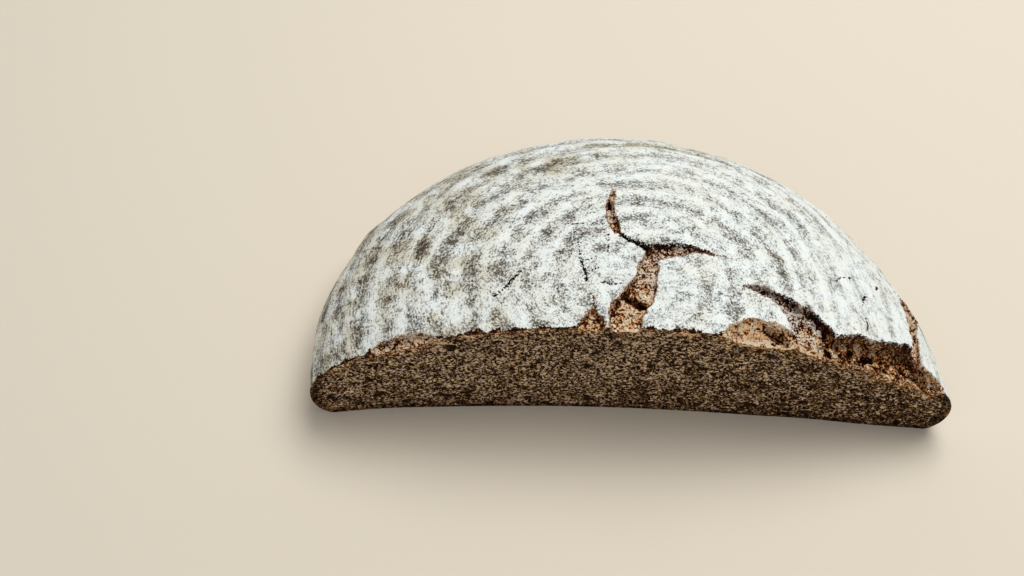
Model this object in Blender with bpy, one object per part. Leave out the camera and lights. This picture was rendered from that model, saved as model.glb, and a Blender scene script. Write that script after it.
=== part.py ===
"""Half of a round rye bread loaf, cut through the middle and resting on its base.

The loaf is a low dome with a rounded foot.  Its crust is a half disc, bent over a turned
profile; the cut is a slightly hollow face along the diameter; and the base is flat.  Where
the crust has burst, its surface dips into tears.  Everything is in metres, +Z up, with the
cut face looking along -Y and the origin under the middle of the loaf's box.
"""

import bpy
import bmesh
import numpy as np

MM = 0.001

# Size of the loaf
HALF_LENGTH = 120 * MM        # half the cut's length, tip to tip
DEPTH = 113 * MM              # from the middle of the cut's chord to the back
HEIGHT = 69.5 * MM            # base to crown
RIM_HEIGHT = 16 * MM          # where the loaf is widest
FOOT_INSET = 8 * MM           # how far the base's edge lies inside the widest line
CROWN_POWER = 1.88            # how fast the crown falls away with the radius
SHOULDER_POWER = 2.18         # how full the shoulder is
SKEW = -0.038                 # share of the radius lost at the back right, gained at the back left
CORNER_SKEW = -0.011          # the same at twice the angle
CUT_HOLLOW = 5.9 * MM         # how far the cut wanders in at its middle
CUT_LEAN = -1.5 * MM          # how much less of it on the right than on the left

# Tears in the crust: how deep, and stations of x, y and half the opening's width, all in mm,
# with x from the middle of the cut's chord to the right and y from the chord to the back
TEARS = (
    # the burst that runs from the crown down to the cut, and its two upper legs
    (4.0, ((4.5, 37, 2.2), (3.5, 29, 4.2), (1.5, 22, 4.6), (-2, 15, 5.5), (-4, 4, 6.5))),
    (3.0, ((-9, 64, 1.0), (-8, 55, 2.2), (-4, 45, 1.4), (4.5, 39, 2.0))),
    (3.0, ((4.5, 38, 2.0), (15, 41, 1.8), (30, 37, 1.0))),
    # the split that curves down to the right
    (4.5, ((38, 26, 1.0), (48, 23.5, 2.4), (56, 17, 4.8), (62, 8, 6.5), (64, 0, 7.0))),
    # the bite out of the crust beside it
    (4.5, ((37, 1, 4.0), (45, 2, 9.0), (53, 0, 6.0))),
    # the burst shoulder at the right end
    (6.5, ((71, 0, 7.0), (84, -1, 9.5), (95, -1, 9.5), (105, -2, 6.0), (113, -2, 4.0))),
)
TEAR_WALL = 2.2 * MM          # how far in from its edge a tear reaches its full depth

# Fineness of the faceted solid
FINE_FROM = -0.12             # share of the half length where the torn side's finer cells begin
COARSE_CELLS = 26
FINE_CELLS = 72
CELLS_BACK = 34
CELLS_SPREAD = 1.3            # above 1, the rows crowd towards the cut
ROWS_ON_CUT = 6
PROFILE_SAMPLES = 400
SHARP_ANGLE = 40

CRUST_COLOUR = (0.72, 0.71, 0.66, 1.0)
CRUST_ROUGHNESS = 0.9


def clear_scene():
    """Remove whatever the file holds."""
    for thing in list(bpy.data.objects):
        bpy.data.objects.remove(thing, do_unlink=True)


def profile_table():
    """The turned profile from crown to foot: how far along it, share of the radius, inset
    and height.

    The shoulder is a superellipse over the rim; the foot below it is a quarter ellipse.
    """
    turn = np.linspace(0, np.pi / 2, PROFILE_SAMPLES)
    shoulder_share = np.sin(turn) ** (2 / CROWN_POWER)
    shoulder_height = RIM_HEIGHT + (HEIGHT - RIM_HEIGHT) * np.cos(turn) ** (2 / SHOULDER_POWER)
    foot_inset = FOOT_INSET * (1 - np.cos(turn))
    foot_height = RIM_HEIGHT * (1 - np.sin(turn))
    share = np.concatenate([shoulder_share, np.ones(PROFILE_SAMPLES)])
    inset = np.concatenate([np.zeros(PROFILE_SAMPLES), foot_inset])
    height = np.concatenate([shoulder_height, foot_height])
    steps = np.hypot(np.diff(share * HALF_LENGTH - inset), np.diff(height))
    length = np.concatenate([[0], np.cumsum(steps)])
    return length / length[-1], share, inset, height


def plan_radius(theta):
    """Radius of the loaf's widest line at an angle from the right-hand tip."""
    oval = 1 / np.hypot(np.cos(theta) / HALF_LENGTH, np.sin(theta) / DEPTH)
    return oval * (1 + SKEW * np.sin(2 * theta) + CORNER_SKEW * np.sin(4 * theta))


def cut_offset(x):
    """How far behind its chord the cut lies at x: nothing at the tips, most in the middle."""
    u = x / HALF_LENGTH
    return (1 - u ** 2) * (CUT_HOLLOW + CUT_LEAN * u)


def tear_depth(x, y):
    """How far the torn crust lies below the dome at x, y in the plan."""
    deepest = np.zeros_like(x)
    for depth, stations in TEARS:
        line = np.array(stations) * MM
        for (x0, y0, w0), (x1, y1, w1) in zip(line[:-1], line[1:]):
            along = (x - x0) * (x1 - x0) + (y - y0) * (y1 - y0)
            t = np.clip(along / ((x1 - x0) ** 2 + (y1 - y0) ** 2), 0, 1)
            away = np.hypot(x - x0 - t * (x1 - x0), y - y0 - t * (y1 - y0))
            s = np.clip((w0 + t * (w1 - w0) - away) / TEAR_WALL, 0, 1)
            deepest = np.maximum(deepest, depth * MM * s * s * (3 - 2 * s))
    return deepest


def crust_points():
    """Points of the crust on a grid: columns from the left foot to the right one, rows from
    the cut to the back.

    The rectangle becomes a half disc, whose radius is how far along the profile a point is.
    """
    coarse = np.linspace(-1, FINE_FROM, COARSE_CELLS, endpoint=False)
    fine = np.linspace(FINE_FROM, 1, FINE_CELLS + 1)
    rows = np.linspace(0, 1, CELLS_BACK + 1) ** CELLS_SPREAD
    u, v = np.meshgrid(np.concatenate([coarse, fine]), rows)
    disc_x = u * np.sqrt(1 - v ** 2 / 2)
    disc_y = v * np.sqrt(1 - u ** 2 / 2)
    reach = np.hypot(disc_x, disc_y)
    theta = np.arctan2(disc_y, disc_x)

    length, share, inset, height = profile_table()
    radius = np.interp(reach, length, share) * plan_radius(theta) - np.interp(reach, length, inset)
    x = radius * np.cos(theta)
    y = radius * np.sin(theta)
    z = np.interp(reach, length, height)
    y += cut_offset(x) * (1 - np.clip(y / DEPTH, 0, 1)) ** 2
    points = np.stack([x, y, z], axis=-1)

    normal = np.cross(np.gradient(points, axis=1), np.gradient(points, axis=0))
    normal /= np.linalg.norm(normal, axis=-1, keepdims=True)
    points -= normal * (tear_depth(x, y) * (z > RIM_HEIGHT))[..., None]
    points[0, :, 1] = cut_offset(points[0, :, 0])
    return points


def cut_columns(bm, edge, front_row, middle_y):
    """The cut face: a strip of faces under each cell of the crust's front row, and a fan at
    each end, where the loaf bulges out past its foot.

    Returns the vertices along the face's foot, from right to left.
    """
    last = len(front_row) - 1
    standing = (np.abs(edge[:, 0]) < edge[-1, 0]) & (edge[:, 2] > RIM_HEIGHT)
    inner = [int(i) for i in np.flatnonzero(standing)]
    strips = []
    for i in inner:
        x, y, top = edge[i]
        levels = top * np.arange(ROWS_ON_CUT) / ROWS_ON_CUT
        strips.append([bm.verts.new((x, y - middle_y, z)) for z in levels] + [front_row[i]])
    for strip, beside in zip(strips[:-1], strips[1:]):
        for k in range(ROWS_ON_CUT):
            bm.faces.new((strip[k], beside[k], beside[k + 1], strip[k + 1]))
    left_end = [front_row[i] for i in range(inner[0] - 1, -1, -1)]
    right_end = [front_row[i] for i in range(last, inner[-1], -1)]
    bm.faces.new(strips[0] + left_end)
    bm.faces.new(right_end + strips[-1][::-1])
    return [strip[0] for strip in reversed(strips)]


def build_loaf():
    """The closed half loaf: crust, cut face and base, as one mesh."""
    points = crust_points()
    middle_x = (points[..., 0].max() + points[..., 0].min()) / 2
    middle_y = (points[..., 1].max() + points[..., 1].min()) / 2
    points[..., 0] -= middle_x
    bm = bmesh.new()
    crust = [[bm.verts.new((x, y - middle_y, z)) for x, y, z in row] for row in points]
    for front, behind in zip(crust[:-1], crust[1:]):
        for k in range(len(front) - 1):
            bm.faces.new((front[k], front[k + 1], behind[k + 1], behind[k]))

    foot_of_cut = cut_columns(bm, points[0], crust[0], middle_y)
    left_foot = [row[0] for row in crust]
    right_foot = [row[-1] for row in reversed(crust[:-1])]
    bm.faces.new(left_foot + crust[-1][1:] + right_foot + foot_of_cut)

    bmesh.ops.recalc_face_normals(bm, faces=bm.faces)
    bmesh.ops.triangulate(bm, faces=[face for face in bm.faces if len(face.verts) > 4])
    mesh = bpy.data.meshes.new("half_loaf")
    bm.to_mesh(mesh)
    bm.free()
    mesh.shade_smooth()
    mesh.set_sharp_from_angle(angle=np.radians(SHARP_ANGLE))
    return mesh


def crust_material():
    """Baked crust under flour: pale, dull and not metallic."""
    material = bpy.data.materials.new("floured_crust")
    material.use_nodes = True
    shader = material.node_tree.nodes["Principled BSDF"]
    shader.inputs["Base Color"].default_value = CRUST_COLOUR
    shader.inputs["Roughness"].default_value = CRUST_ROUGHNESS
    shader.inputs["Metallic"].default_value = 0.0
    return material


def main():
    """Build the one piece."""
    clear_scene()
    mesh = build_loaf()
    mesh.materials.append(crust_material())
    loaf = bpy.data.objects.new("half_loaf", mesh)
    bpy.context.scene.collection.objects.link(loaf)


main()
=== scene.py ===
"""Half of a round rye loaf as it rests on its base: a floured crust that has burst in the
oven, and the open crumb of its cut face.

Lengths are in millimetres until a mesh is made, when they become metres.  Loaf coordinates
start on the base, under the middle of the cut's chord: x runs along the cut, y back into
the loaf and z up.
"""

import logging
import math
from dataclasses import dataclass
from enum import Enum

import bmesh
import bpy
import numpy as np
from mathutils import Matrix, Vector
from numpy.typing import NDArray


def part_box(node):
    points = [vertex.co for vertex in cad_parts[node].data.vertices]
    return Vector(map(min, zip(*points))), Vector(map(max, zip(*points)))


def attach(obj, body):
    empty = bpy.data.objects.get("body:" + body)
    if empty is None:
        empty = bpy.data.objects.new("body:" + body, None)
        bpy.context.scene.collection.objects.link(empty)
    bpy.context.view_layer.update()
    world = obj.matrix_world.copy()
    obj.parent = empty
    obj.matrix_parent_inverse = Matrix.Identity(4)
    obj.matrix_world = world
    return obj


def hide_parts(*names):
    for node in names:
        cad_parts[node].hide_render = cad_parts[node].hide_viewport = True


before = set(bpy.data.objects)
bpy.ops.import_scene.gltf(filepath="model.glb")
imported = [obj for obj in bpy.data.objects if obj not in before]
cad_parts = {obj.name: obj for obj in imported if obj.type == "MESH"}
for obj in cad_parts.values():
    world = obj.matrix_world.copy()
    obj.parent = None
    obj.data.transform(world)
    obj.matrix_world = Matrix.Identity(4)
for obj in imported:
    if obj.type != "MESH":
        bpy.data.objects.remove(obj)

Array = NDArray[np.float64]

LOG = logging.getLogger("loaf")
NODE = "half_loaf"
BODY = "root"
METRE = 1000.0
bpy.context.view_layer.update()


# ---------------------------------------------------------------------------------------
# Repeatable roughness


def lattice_random(cells: Array, seed: int) -> Array:
    """Give each cell of a cubic lattice its own number.

    Formula: the three whole coordinates and the seed are multiplied by large odd numbers,
    mixed by exclusive-or with their own high bits, and the low bits become a share of one.

    Args:
        cells: whole coordinates, the last axis holding x, y and z.
        seed: picks another set of numbers.

    Returns:
        Numbers from 0 to 1, one for each cell.
    """
    whole = cells.astype(np.int64)
    mixed = whole[..., 0] * 374761393 + whole[..., 1] * 668265263 + whole[..., 2] * 2246822519
    mixed = (mixed + seed * 3266489917) & 0xFFFFFFFF
    mixed = ((mixed ^ (mixed >> 15)) * 2246822519) & 0xFFFFFFFF
    mixed = ((mixed ^ (mixed >> 13)) * 3266489917) & 0xFFFFFFFF
    return ((mixed ^ (mixed >> 16)) & 0xFFFFFF) / float(0xFFFFFF)


def value_noise(points: Array, size: float, seed: int) -> Array:
    """Smooth bumps of one size.

    Formula: random numbers stand on a lattice with a step of size; a point blends its
    cell's eight, each weighted by 6t^5 - 15t^4 + 10t^3 along every axis.

    Args:
        points: places in mm, the last axis holding x, y and z.
        size: the lattice's step in mm.
        seed: picks another pattern.

    Returns:
        Numbers from -1 to 1.
    """
    scaled = points / size
    corner = np.floor(scaled)
    t = scaled - corner
    fade = t * t * t * (t * (t * 6 - 15) + 10)
    total = np.zeros(points.shape[:-1])
    for step in np.ndindex(2, 2, 2):
        share = np.where(np.array(step) == 1, fade, 1 - fade).prod(axis=-1)
        total += share * lattice_random(corner + step, seed)
    return total * 2 - 1


def rough_noise(points: Array, size: float, seed: int, octaves: int = 3) -> Array:
    """Bumps on bumps: each octave is half the size and half the height of the one before.

    Args:
        points: places in mm.
        size: the largest bumps' size in mm.
        seed: picks another pattern.
        octaves: how many sizes are added.

    Returns:
        Numbers from about -1 to 1.
    """
    total = np.zeros(points.shape[:-1])
    for octave in range(octaves):
        total += value_noise(points, size / 2 ** octave, seed + octave) / 2 ** octave
    return total / (2 - 2 / 2 ** octaves)


def granules(points: Array, size: float, seed: int) -> tuple[Array, Array]:
    """Rounded lumps packed side by side.

    Formula: every lattice cell holds one point at random; a place takes the nearest of its
    27 neighbours' points, and its height is one less the square of that distance.

    Args:
        points: places in mm.
        size: the lattice's step in mm, about a lump's width.
        seed: picks another packing.

    Returns:
        The height of the lump, from about -0.5 to 1, and the lump's own number, 0 to 1.
    """
    scaled = points / size
    corner = np.floor(scaled)
    nearest = np.full(points.shape[:-1], np.inf)
    number = np.zeros(points.shape[:-1])
    for step in np.ndindex(3, 3, 3):
        cell = corner + np.array(step) - 1
        places = [lattice_random(cell, seed + axis) for axis in range(3)]
        away = ((cell + np.stack(places, axis=-1) - scaled) ** 2).sum(axis=-1)
        closer = away < nearest
        nearest = np.where(closer, away, nearest)
        number = np.where(closer, lattice_random(cell, seed + 3), number)
    return 1 - 1.5 * nearest, number


def smooth_step(value: Array, low: float, high: float) -> Array:
    """Ease from 0 at low to 1 at high, by 3t^2 - 2t^3."""
    t = np.clip((value - low) / (high - low), 0, 1)
    return t * t * (3 - 2 * t)


def graded(stops: tuple[float, ...], steps: tuple[float, ...]) -> Array:
    """Positions whose spacing follows a table.

    Formula: the count of positions up to a place is the integral of one over the step
    there; equal counts are read back as places.

    Args:
        stops: places at which the step is given, rising.
        steps: the wanted step at each.

    Returns:
        Positions from the first stop to the last.
    """
    line = np.linspace(stops[0], stops[-1], 4001)
    density = 1 / np.interp(line, stops, steps)
    count = np.concatenate([[0], np.cumsum((density[1:] + density[:-1]) / 2 * np.diff(line))])
    return np.interp(np.linspace(0, count[-1], round(count[-1]) + 1), count, line)


# ---------------------------------------------------------------------------------------
# The loaf's plain form


@dataclass(frozen=True)
class LoafShape:
    """The loaf's plain form, before any roughness: a low dome over a rounded foot.

    Args:
        half_length: from the middle of the cut's chord to a tip.
        depth: from the chord to the back.
        height: from the base to the crown.
        rim_height: where the loaf is widest.
        foot_inset: how far the base's edge lies inside the widest line.
        crown_power: how fast the crown falls away with the radius.
        shoulder_power: how full the shoulder is.
        skew: share of the radius lost at the back right and gained at the back left.
        corner_skew: the same at twice the angle.
        cut_hollow: how far the cut wanders in at its middle.
        cut_lean: how much more on the right than on the left.
        cut_wave: how far the knife's path wavers.
    """

    half_length: float = 120.0
    depth: float = 113.0
    height: float = 69.5
    rim_height: float = 16.0
    foot_inset: float = 8.0
    crown_power: float = 1.88
    shoulder_power: float = 2.18
    skew: float = -0.038
    corner_skew: float = -0.011
    cut_hollow: float = 5.9
    cut_lean: float = -1.5
    cut_wave: float = 0.25

    def profile(self) -> tuple[Array, Array, Array, Array]:
        """The turned profile from the crown to the foot.

        Formula: the shoulder is a superellipse standing on the rim, and the foot below it
        a quarter ellipse.

        Returns:
            Length along the profile, share of the radius, inset from it, and height.
        """
        turn = np.linspace(0, np.pi / 2, 900)
        share = np.sin(turn) ** (2 / self.crown_power)
        rise = np.cos(turn) ** (2 / self.shoulder_power)
        share = np.concatenate([share, np.ones(turn.size)])
        inset = np.concatenate([np.zeros(turn.size), self.foot_inset * (1 - np.cos(turn))])
        shoulder = self.rim_height + (self.height - self.rim_height) * rise
        height = np.concatenate([shoulder, self.rim_height * (1 - np.sin(turn))])
        steps = np.hypot(np.diff(share * self.half_length - inset), np.diff(height))
        return np.concatenate([[0], np.cumsum(steps)]), share, inset, height

    def plan_radius(self, theta: Array) -> Array:
        """Radius of the widest line at an angle from the right-hand tip: an ellipse, made
        lopsided by the sines of twice and four times the angle."""
        oval = 1 / np.hypot(np.cos(theta) / self.half_length, np.sin(theta) / self.depth)
        return oval * (1 + self.skew * np.sin(2 * theta) + self.corner_skew * np.sin(4 * theta))

    def cut_y(self, x: Array, z: Array) -> Array:
        """How far back the cut lies: a parabola between the tips, and a slow waver."""
        u = x / self.half_length
        hollow = (1 - u ** 2) * (self.cut_hollow + self.cut_lean * u)
        along = np.stack([x, np.zeros_like(x), 2 * z], axis=-1)
        return hollow + self.cut_wave * value_noise(along, 23.0, 71)

    def dome(self, across: Array, back: Array) -> tuple[Array, Array]:
        """Points of the crust over a rectangle of profile lengths.

        Formula: a rectangle (u, v) becomes a half disc by x = u sqrt(1 - v^2/2) and
        y = v sqrt(1 - u^2/2); the disc's radius is the length along the profile, and the
        cut's hollow is taken up by a shear that dies out towards the back.

        Args:
            across: profile lengths of the columns, from the left foot to the right one.
            back: profile lengths of the rows, from the cut to the back.

        Returns:
            Points in loaf coordinates, rows first, and each point's profile length.
        """
        length, share, inset, height = self.profile()
        u, v = np.meshgrid(across / length[-1], back / length[-1])
        disc_x = u * np.sqrt(1 - v ** 2 / 2)
        disc_y = v * np.sqrt(1 - u ** 2 / 2)
        reach = np.hypot(disc_x, disc_y) * length[-1]
        theta = np.arctan2(disc_y, disc_x)
        radius = np.interp(reach, length, share) * self.plan_radius(theta)
        radius -= np.interp(reach, length, inset)
        x = radius * np.cos(theta)
        y = radius * np.sin(theta)
        z = np.interp(reach, length, height)
        y += self.cut_y(x, z) * (1 - np.clip(y / self.depth, 0, 1)) ** 2
        return np.stack([x, y, z], axis=-1), reach


# ---------------------------------------------------------------------------------------
# Tears in the crust


@dataclass(frozen=True)
class Tear:
    """An opening in the crust, along a line of stations.

    Args:
        stations: x, y, half the opening's width and its depth, at each station.
        ragged: how far its edge strays from the line.
        undercut: how far the crust overhangs its wall.
        curl: how far the crust's edge lifts.
        tone: how light its floor is, from 0 for baked dark to 1 for pale crumb.
        dust: how much flour lies on its floor.
        slope: over what width its floor falls, where it has no upright wall.
    """

    stations: tuple[tuple[float, float, float, float], ...]
    ragged: float = 0.5
    undercut: float = 0.6
    curl: float = 0.3
    # tone: how light its floor is, from 0 for baked dark to 1 for pale crumb; the low tones of pits and
    # grooves are painted shade.
    tone: float = 0.5
    dust: float = 0.0
    slope: float = 0.0

    def measure(self, plan: Array) -> tuple[Array, Array, Array, Array]:
        """Measure places in the plan against the tear.

        Formula: of all stretches between stations, the one in which the place lies
        deepest counts; inside is the half width there less the distance to its line.

        Args:
            plan: x and y of each place.

        Returns:
            How far inside the opening each place is, negative outside; half the opening's
            width there; its depth; and the direction away from its line.
        """
        line = np.array(self.stations)
        inside = np.full(plan.shape[:-1], -np.inf)
        width = np.zeros(plan.shape[:-1])
        depth = np.zeros(plan.shape[:-1])
        outward = np.zeros(plan.shape)
        for start, end in zip(line[:-1], line[1:]):
            run = end[:2] - start[:2]
            t = np.clip(((plan - start[:2]) @ run) / (run @ run), 0, 1)
            away = plan - start[:2] - t[..., None] * run
            gap = np.linalg.norm(away, axis=-1)
            half = start[2] + t * (end[2] - start[2])
            deeper = half - gap > inside
            inside = np.where(deeper, half - gap, inside)
            width = np.where(deeper, half, width)
            depth = np.where(deeper, start[3] + t * (end[3] - start[3]), depth)
            direction = away / np.maximum(gap, 1e-6)[..., None]
            outward = np.where(deeper[..., None], direction, outward)
        return inside, width, depth, outward


CROWN_BURST = Tear(
    ((5.5, 36, 2.4, 2.4), (4.2, 31, 3.4, 1.8), (3.6, 27, 3.5, 1.6), (2.5, 23, 4.3, 1.7),
     (0.8, 19, 5.4, 2.0)),
    ragged=0.7, undercut=0.3, curl=0.35, tone=1.2, dust=0.35)
CROWN_MOUTH = Tear(
    ((0.8, 19, 5.4, 2.1), (-1.8, 15.5, 5.5, 2.4), (-3.6, 12, 5.9, 2.5), (-3.8, 8, 5.6, 2.7),
     (-3.8, 3, 5.6, 2.8)),
    ragged=0.7, undercut=0.3, curl=0.35, tone=1.2)
CROWN_TIP = Tear(
    ((-8.6, 70, 0.1, 0.3), (-7.8, 67.5, 0.8, 0.8), (-8.3, 64.2, 1.2, 1.0), (-8.6, 62.5, 1.0, 1.0)),
    ragged=0.4, undercut=0.1, curl=0.1, tone=1.1, dust=0.3)
CROWN_LEFT_LEG = Tear(
    ((-9.2, 62, 1.0, 2.2), (-9.3, 59, 1.4, 2.2), (-9, 55, 1.6, 2.0), (-8.3, 52, 1.7, 2.0)),
    ragged=0.35, undercut=0.3, tone=0.95, dust=0.3)
LEFT_LEG_FOOT = Tear(
    ((-8.3, 52, 1.6, 2.1), (-8, 50.5, 1.6, 2.2), (-6.8, 46.5, 1.2, 2.3)),
    ragged=0.35, undercut=0.3, tone=0.55)
CROWN_LINK = Tear(
    ((-6.8, 46.5, 1.0, 2.5), (-4.5, 44.2, 0.6, 2.8), (0, 41.3, 0.7, 3.2), (4.5, 38.6, 1.2, 3.4)),
    ragged=0.35, undercut=0.3, tone=0.1)
# Its tone below 0 is painted shade: the pit's floor is painted nearly black.
CROWN_TOP_PIT = Tear(
    ((-9.0, 62.6, 0.8, 3.6), (-9.3, 60.4, 1.0, 3.8), (-9.5, 58.6, 0.5, 3.2)),
    ragged=0.3, undercut=0.1, curl=0.0, tone=-0.2)
CROWN_RIGHT_LEG = Tear(
    ((6, 36.5, 2.4, 2.6), (11, 37.2, 2.3, 2.4), (14.5, 38.4, 1.9, 2.2), (20, 39.8, 1.3, 2.2),
     (24, 38.9, 0.9, 2.0), (28.5, 38, 0.5, 1.6), (33, 37.8, 0.1, 0.8)),
    ragged=0.35, undercut=0.3, tone=0.82, dust=0.45)
# Its dark tone is painted shadow under the crust's edge along the back of the right leg.
CROWN_GROOVE = Tear(
    ((-2, 42.8, 0.4, 3.4), (4, 39.9, 0.8, 4.0), (9, 39.9, 0.8, 4.2), (14.5, 41.1, 0.5, 3.8),
     (20, 41.4, 0.35, 3.2), (25, 39.4, 0.25, 2.6)),
    ragged=0.4, undercut=0.2, curl=0.2, tone=0.0)
# Its tone below 0 is painted shade in the pit.
BURST_PIT = Tear(
    ((-3.8, 19.0, 0.8, 3.8), (-1.2, 17.8, 1.5, 4.8), (1.6, 16.2, 1.9, 5.6), (4.0, 15.8, 1.0, 4.6)),
    ragged=0.4, undercut=0.2, curl=0.0, tone=-0.2)
# Its low tone is painted shadow along the burst's left wall.
BURST_SIDE = Tear(
    ((4.2, 36.4, 0.6, 2.9), (2.0, 32, 0.5, 2.4), (1.0, 28, 0.35, 2.0), (-0.8, 24.6, 0.6, 2.4),
     (-3.2, 20.8, 0.9, 2.9), (-5.9, 17.6, 0.9, 3.2), (-8.1, 13.6, 0.75, 3.3), (-8.8, 9, 0.65, 3.3),
     (-8.6, 5, 0.8, 3.3)),
    ragged=0.8, undercut=0.4, curl=0.3, tone=0.18)
BURST_NOTCH = Tear(
    ((-15, 18, 0.2, 0.8), (-15, 14.5, 0.7, 1.4), (-15.4, 10.8, 1.9, 2.0), (-15.6, 7, 4.4, 2.4),
     (-15.6, 3, 5.4, 2.4)),
    ragged=0.7, undercut=0.3, curl=0.2, tone=0.56)
CURVED_SPLIT = Tear(
    ((35, 26, 0.1, 1.0), (42, 25.4, 1.3, 2.8), (47, 24.3, 1.5, 3.2), (51, 21.5, 2.2, 3.4),
     (55, 18.6, 3.6, 3.6), (59, 14.8, 5.5, 3.8), (61.5, 11, 6.3, 4.4), (62.6, 9, 6.5, 4.8)),
    ragged=0.6, undercut=0.4, curl=0.4, tone=0.84, dust=0.8)
CURVED_MOUTH = Tear(
    ((62, 9.8, 5.2, 4.6), (63.5, 7, 6.8, 5.3), (64.5, 2, 7.3, 6.2)),
    ragged=0.6, undercut=0.4, curl=0.4, tone=1.05, dust=0.12)
# Its low tone is painted shadow under the crust's edge on the split's upper side.
CURVED_GROOVE = Tear(
    ((38, 26, 0.3, 2.4), (46, 25.8, 0.4, 3.4), (52.5, 23.5, 0.5, 4.0), (58.5, 20.9, 0.7, 4.6),
     (63.8, 17.3, 0.9, 5.2), (67.2, 13.0, 1.1, 5.8), (69.8, 8.6, 1.4, 6.8)),
    ragged=0.5, undercut=0.4, curl=0.5, tone=0.2)
EDGE_BITE = Tear(
    ((33, 3, 4.2, 3.0), (38, 3, 8.0, 5.0), (42, 3, 9.8, 6.0), (46, 3, 9.0, 6.4),
     (50.5, 3, 6.4, 6.4), (54.5, 3, 3.2, 6.4)),
    ragged=0.8, undercut=0.2, curl=0.4, tone=1.5, slope=6.5)
# Its low tone is painted shadow on the bite's upper right wall.
BITE_GROOVE = Tear(
    ((45, 10.8, 0.9, 6.4), (49.5, 8.6, 1.3, 7.4), (53, 5.8, 1.4, 8.0)),
    ragged=0.4, undercut=0.2, curl=0.1, tone=0.1)
# Its tone below 0 is painted shade in the pit.
ROUND_PIT = Tear(
    ((68.4, 6.9, 1.4, 8.4), (69.0, 5.6, 1.9, 9.4), (69.4, 4.6, 1.6, 9.0)),
    ragged=0.2, undercut=0.2, curl=0.0, tone=-0.2)
# Their tones below 0 are painted shade in the pits.
SMALL_PITS = (
    Tear(((45.0, 5.9, 0.8, 7.4), (45.6, 4.8, 0.8, 7.6)), 0.2, 0.1, 0.0, -0.2),
    Tear(((48.4, 7.0, 0.8, 7.8), (49.0, 5.8, 0.9, 8.0)), 0.2, 0.1, 0.0, -0.2),
    Tear(((-5.2, 9.6, 0.5, 4.6), (-3.4, 11.2, 0.7, 4.8), (-2.4, 12.6, 0.4, 4.4)), 0.3, 0.1, 0.0, -0.1),
    Tear(((73.2, 8.6, 0.6, 9.6), (74.0, 7.4, 0.8, 10.0)), 0.5, 0.2, 0.0, -0.2),
    Tear(((77.0, 10.6, 0.8, 12.0), (78.6, 9.2, 1.1, 12.4)), 0.6, 0.2, 0.0, -0.3),
    Tear(((81.2, 7.4, 0.8, 12.8), (83.6, 8.8, 1.6, 13.8), (86.4, 8.0, 1.4, 13.4), (88.4, 9.4, 0.8, 13.2)),
         0.8, 0.3, 0.0, -0.3),
    Tear(((91.6, 10.0, 0.5, 12.8), (93.6, 8.6, 0.9, 13.2)), 0.6, 0.2, 0.0, -0.25),
    Tear(((98.6, 8.6, 0.7, 12.0), (101.2, 5.6, 1.0, 12.2)), 0.7, 0.2, 0.0, -0.25),
)
SHOULDER_BURST = Tear(
    ((70.5, 2, 7.4, 7.4), (76, 2, 9.2, 9.4), (82, 2, 10.0, 10.6), (90, 2, 10.2, 11.0),
     (97, 3.5, 9.0, 10.6), (102, 1, 5.8, 9.8), (104, 0.8, 5.6, 9.4)),
    ragged=0.8, undercut=1.0, curl=0.4, tone=0.48)
TIP_BURST = Tear(
    ((103.4, 0.6, 5.6, 9.6), (106, 0.5, 5.7, 9.2), (109, 0.3, 4.6, 7.7), (111.4, 0, 2.8, 5.6),
     (114, 0, 1.0, 2.6)),
    ragged=0.8, undercut=0.4, curl=0.3, tone=1.4, slope=3.0)
SHOULDER_CORNER = Tear(
    ((88, 7, 5.0, 10.6), (95, 8.6, 4.6, 10.6), (99.4, 10.2, 3.9, 10.0)),
    ragged=0.6, undercut=0.9, curl=0.4, tone=0.4)
MARGIN_SPLIT = Tear(
    ((101, 40, 0.2, 1.0), (103.2, 35.5, 2.0, 2.2), (105.2, 31.5, 3.2, 2.4), (104.6, 27.5, 2.4, 2.4),
     (104, 23, 1.4, 2.4), (104, 18, 1.2, 2.6), (103.4, 12, 1.4, 3.0), (103.6, 7, 1.6, 4.0)),
    ragged=0.5, undercut=0.3, curl=0.3, tone=1.04, dust=0.15)
LEFT_BITE = Tear(
    ((-71, 4.5, 1.0, 1.6), (-76, 5, 1.8, 2.4), (-83, 4.5, 2.8, 3.2), (-89, 4, 2.4, 2.8),
     (-93, 3, 1.0, 1.6)),
    ragged=0.8, undercut=0.3, curl=0.3, tone=1.05, dust=0.2)
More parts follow.
